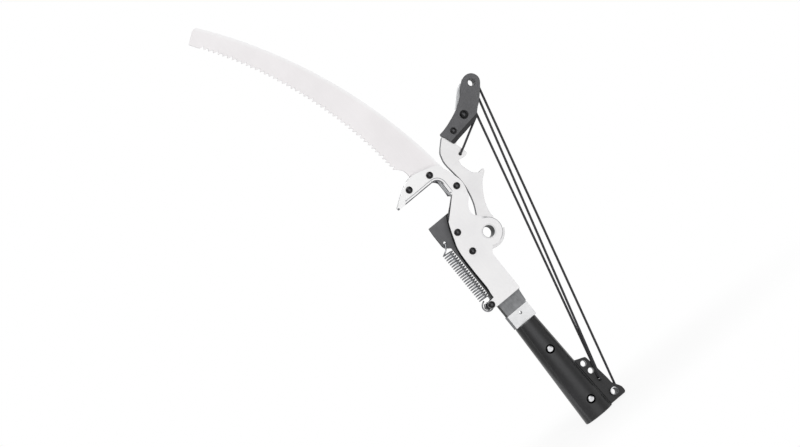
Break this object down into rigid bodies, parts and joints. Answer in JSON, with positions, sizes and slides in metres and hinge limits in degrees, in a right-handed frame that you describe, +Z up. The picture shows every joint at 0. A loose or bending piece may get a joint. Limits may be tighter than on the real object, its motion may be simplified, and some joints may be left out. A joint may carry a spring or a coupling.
{
  "type": "tree pruner pole",
  "caption": "Tree pruner pole head with curved saw, fixed hook, rope worked sliding blade, lever with rope block, return spring and tapered pole socket",
  "frame": {"origin": "centre of the pole bore's mouth at the socket's lower end", "axes": "+Z up the pole axis to the saw, +X to the lever and rope, -Y to the front with the bolt heads"},
  "size_m": [0.2736, 0.0416, 0.7242],
  "materials": {
    "nylon_black": "moulded glass-filled nylon, satin",
    "plate_steel": "satin polished steel plate",
    "saw_steel": "ground saw steel",
    "tang_steel": "mill finish steel bar",
    "zinc_steel": "bright zinc plate",
    "blade_coat": "dark non-stick coat on steel",
    "black_oxide": "black oxide steel",
    "block_cast": "dark grey coated die casting",
    "bronze_sleeve": "sintered bronze",
    "spring_steel": "zinc plated spring wire",
    "rope_fibre": "braided polyester rope"
  },
  "bodies": {
    "head": {"pole_socket": "nylon_black", "line_bush": "zinc_steel", "tang": "tang_steel", "ferrule": "zinc_steel", "ferrule_rivet": "zinc_steel", "tang_screw": "zinc_steel", "tang_nut": "zinc_steel", "pole_screw": "zinc_steel", "front_plate": "plate_steel", "rear_plate": "plate_steel", "front_spacer": "tang_steel", "rear_spacer": "tang_steel", "saw_blade": "saw_steel", "hook_bolts": "black_oxide", "hook_nuts": "black_oxide", "guide_bolts": "black_oxide", "guide_sleeves": "bronze_sleeve", "guide_washers": "zinc_steel", "guide_nuts": "black_oxide", "spring_bolt": "black_oxide", "spring_nut": "black_oxide", "return_spring": "spring_steel", "pivot_sleeve": "zinc_steel", "pivot_ring": "plate_steel", "pivot_washers": "zinc_steel", "rope_wing_run": "rope_fibre", "end_knot": "rope_fibre"},
    "blade": {"cutting_blade": "blade_coat"},
    "lever_arm": {"lever": "plate_steel", "front_cheek": "block_cast", "rear_cheek": "block_cast", "block_bolt": "black_oxide", "block_screw": "black_oxide", "block_nuts": "black_oxide", "rope_guard": "zinc_steel", "top_axle": "zinc_steel", "top_collar": "tang_steel", "middle_pin": "tang_steel", "corner_pin": "tang_steel", "rope_top_run": "rope_fibre", "rope_middle_run": "rope_fibre", "lug_knot": "rope_fibre"},
    "top_wheel": {"top_roller": "zinc_steel"},
    "middle_wheel": {"middle_roller": "zinc_steel"},
    "strand_a": {"rope_strand_a": "rope_fibre"},
    "strand_b": {"rope_strand_b": "rope_fibre"},
    "strand_c": {"rope_strand_c": "rope_fibre"}
  },
  "joints": [
    {"name": "lever_pivot", "type": "hinge", "parent": "head", "child": "lever_arm", "pos_m": [0.0368, 0, 0.2775], "axis": [0, 1, 0], "range_deg": [0, 120]},
    {"name": "blade_slide", "type": "slide", "parent": "head", "child": "blade", "axis": [0, 0, 1], "range_m": [0, 0.04399], "stiffness_N_per_m": 1000, "springref_m": -0.04, "deforming": ["return_spring"]},
    {"name": "top_turn", "type": "hinge", "parent": "lever_arm", "child": "top_wheel", "pos_m": [0.145, 0.0018, 0.4418], "axis": [0, 1, 0], "continuous": true},
    {"name": "middle_turn", "type": "hinge", "parent": "lever_arm", "child": "middle_wheel", "pos_m": [0.135, -0.0018, 0.4205], "axis": [0, 1, 0], "continuous": true},
    {"name": "strand_a_swing", "type": "hinge", "parent": "head", "child": "strand_a", "pos_m": [0.02975, 0, 0.03948], "axis": [0, 1, 0], "range_deg": [0, 27.64], "deforming": ["rope_strand_a"]},
    {"name": "strand_b_swing", "type": "hinge", "parent": "head", "child": "strand_b", "pos_m": [0.02905, 0, 0.03452], "axis": [0, 1, 0], "range_deg": [0, 30.28], "deforming": ["rope_strand_b"]},
    {"name": "strand_c_swing", "type": "hinge", "parent": "head", "child": "strand_c", "pos_m": [0.0341, 0, 0.0115], "axis": [0, 1, 0], "range_deg": [0, 31.29], "deforming": ["rope_strand_c", "rope_wing_run"]}
  ],
  "couplings": [
    {"joint": "blade_slide", "follows": "lever_pivot", "m_per_rad": 0.021},
    {"joint": "strand_a_swing", "follows": "lever_pivot", "ratio": 0.23025},
    {"joint": "strand_b_swing", "follows": "lever_pivot", "ratio": 0.25225},
    {"joint": "strand_c_swing", "follows": "lever_pivot", "ratio": 0.26067}
  ]
}
